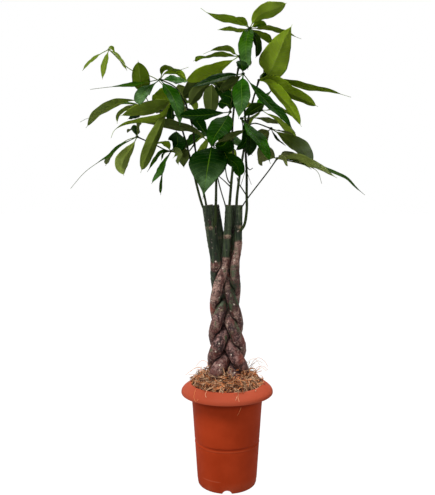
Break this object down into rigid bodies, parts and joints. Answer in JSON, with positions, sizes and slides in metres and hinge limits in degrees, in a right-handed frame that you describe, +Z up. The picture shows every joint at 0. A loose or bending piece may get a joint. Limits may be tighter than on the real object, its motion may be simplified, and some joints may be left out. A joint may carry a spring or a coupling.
{
  "type": "potted money tree",
  "caption": "House plant with braided trunks, thin green shoots and palmate leaves, standing in a round plastic nursery pot with a turned-down rim and a fibre mulch.",
  "frame": {"origin": "centre of the pot's flat underside", "axes": "+Z up along the pot's axis, -Y towards the front of the tree"},
  "size_m": [0.6389, 0.5148, 1.0978],
  "materials": {
    "pot_plastic": "terracotta-coloured moulded plastic with a soft sheen",
    "soil": "dark crumbly potting soil",
    "coir": "golden-brown coconut fibre, matted and dry",
    "bark": "mauve-brown bark with pale specks and ring scars, green near the top",
    "green_stem": "smooth dark green young stem",
    "leaf": "glossy dark green leaf with pale midribs and a lighter underside",
    "young_leaf": "thin yellow-green new leaf"
  },
  "bodies": {
    "root": {"pot": "pot_plastic", "soil": "soil", "coir_mulch": "coir", "trunk_centre": "bark", "trunk_left_back": "bark", "trunk_centre_back": "bark", "trunk_left_front": "bark", "trunk_right": "bark", "shoot_left_outer": "green_stem", "shoot_left_inner": "green_stem", "shoot_front": "green_stem", "shoot_centre": "green_stem", "shoot_right_inner": "green_stem", "shoot_right_outer": "green_stem", "leaf_far_left": "young_leaf", "leaf_left_upper": "leaf", "leaf_left_middle": "leaf", "leaf_left_front": "leaf", "leaf_left_lower": "leaf", "leaf_left_inner": "leaf", "leaf_front_large": "leaf", "leaf_front_upper": "leaf", "leaf_upper_left": "leaf", "leaf_top": "leaf", "leaf_upper_right": "leaf", "leaf_front_top": "leaf", "leaf_front_right": "leaf", "leaf_right_middle": "leaf", "leaf_right_lower": "leaf", "leaf_back_left": "leaf", "leaf_back_centre": "leaf", "leaf_back_right": "leaf", "leaf_back_low": "leaf"}
  },
  "joints": []
}
